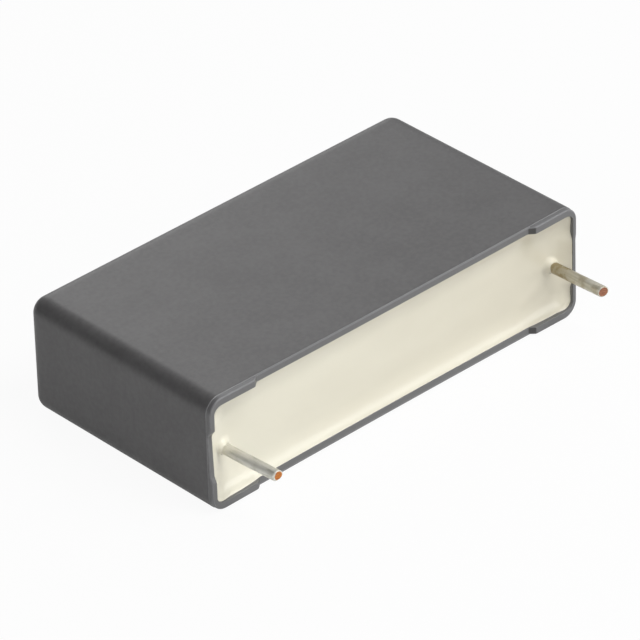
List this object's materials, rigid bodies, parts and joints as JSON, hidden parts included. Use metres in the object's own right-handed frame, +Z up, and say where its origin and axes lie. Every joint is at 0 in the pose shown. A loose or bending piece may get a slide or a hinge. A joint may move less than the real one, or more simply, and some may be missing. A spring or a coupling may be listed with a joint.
{
  "type": "box film capacitor",
  "caption": "Slab-shaped moulded capacitor box, potted with resin on its open side between corner feet, with straight tinned wire leads for a printed circuit board.",
  "frame": {"origin": "midway between the leads, in the plane of the feet that stand on the board", "axes": "+X along the box, +Y from the board into the box, +Z up through its thickness as it lies on a large side; the leads point to -Y"},
  "size_m": [0.0414, 0.0271, 0.0108],
  "materials": {
    "case_plastic": "fine-grained moulded grey polyester",
    "resin": "cast cream epoxy, glossy and slightly uneven",
    "film": "metallised polypropylene film, wound and pressed",
    "sprayed_metal": "rough sprayed zinc",
    "lead_wire": "satin tin on copper wire, bare copper at the cut end"
  },
  "bodies": {
    "root": {"case": "case_plastic", "resin_fill": "resin", "film_winding": "film", "end_spray_left": "sprayed_metal", "end_spray_right": "sprayed_metal", "lead_left": "lead_wire", "lead_right": "lead_wire"}
  },
  "joints": []
}
